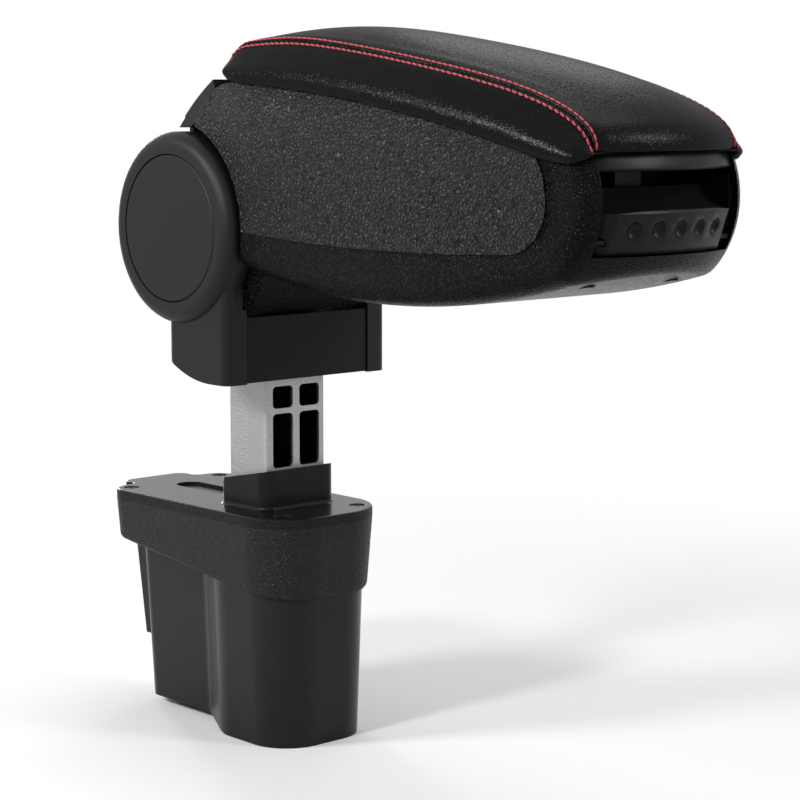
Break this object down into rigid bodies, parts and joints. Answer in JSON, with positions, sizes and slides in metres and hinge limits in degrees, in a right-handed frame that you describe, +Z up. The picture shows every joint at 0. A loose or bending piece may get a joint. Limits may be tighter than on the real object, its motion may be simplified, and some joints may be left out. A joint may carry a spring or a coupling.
{
  "type": "car centre armrest",
  "caption": "Folding car centre armrest with a padded lid over a storage bin, on a cast post that plugs into a console insert.",
  "frame": {"origin": "on the post's axis, on the flat foot of the console insert", "axes": "+X towards the front of the arm, +Z up, Y across the car"},
  "size_m": [0.3737, 0.111, 0.3531],
  "materials": {
    "insert_moulding": "smooth semi-gloss cup with a leather-grained skirt",
    "plate_plastic": "smooth semi-gloss",
    "screw_steel": "dark zinc",
    "post_alloy": "bare casting",
    "shell_plastic": "smooth satin",
    "boot_plastic": "smooth satin",
    "bracket_steel": "dark coated steel",
    "washer_plastic": "smooth",
    "frame_plastic": "fine leather grain",
    "panel_plastic": "coarse grain",
    "bin_plastic": "fine matte",
    "cover_leather": "fine grained leatherette, red stitching",
    "grip_plastic": "smooth satin"
  },
  "bodies": {
    "insert": {"insert_housing": "insert_moulding", "top_plate": "plate_plastic", "plate_screws": "screw_steel"},
    "post": {"post_casting": "post_alloy", "right_hinge_shell": "shell_plastic", "left_hinge_shell": "shell_plastic", "right_hinge_cap": "shell_plastic", "left_hinge_cap": "shell_plastic", "boot_front_panel": "boot_plastic", "boot_rear_panel": "boot_plastic", "right_core_drum": "boot_plastic", "left_core_drum": "boot_plastic", "hinge_bolt": "screw_steel", "hinge_nut": "screw_steel", "friction_washers": "washer_plastic"},
    "arm": {"right_side_panel": "panel_plastic", "left_side_panel": "panel_plastic", "right_side_frame": "frame_plastic", "left_side_frame": "frame_plastic", "lower_shell": "frame_plastic", "right_arm_bracket": "bracket_steel", "left_arm_bracket": "bracket_steel", "rear_cover": "frame_plastic", "lid_pin": "screw_steel", "storage_bin": "bin_plastic", "catch_housing": "bin_plastic", "catch_pin": "screw_steel", "bottom_screws": "screw_steel"},
    "lid": {"lid_pan": "bin_plastic", "lid_cushion": "cover_leather"},
    "grip": {"release_grip": "grip_plastic"}
  },
  "joints": [
    {"name": "post_slide", "type": "slide", "parent": "insert", "child": "post", "axis": [0, 0, 1], "range_m": [-0.064, 0]},
    {"name": "arm_fold", "type": "hinge", "parent": "post", "child": "arm", "pos_m": [-0.0135, 0, 0.255], "axis": [0, -1, 0], "range_deg": [0, 100]},
    {"name": "lid_open", "type": "hinge", "parent": "arm", "child": "lid", "pos_m": [0.0255, 0, 0.325], "axis": [0, -1, 0], "range_deg": [0, 65]},
    {"name": "grip_press", "type": "hinge", "parent": "arm", "child": "grip", "pos_m": [0.2525, 0, 0.26], "axis": [0, -1, 0], "range_deg": [0, 8], "stiffness_Nm_per_rad": 0.5, "springref_deg": -5.73}
  ]
}
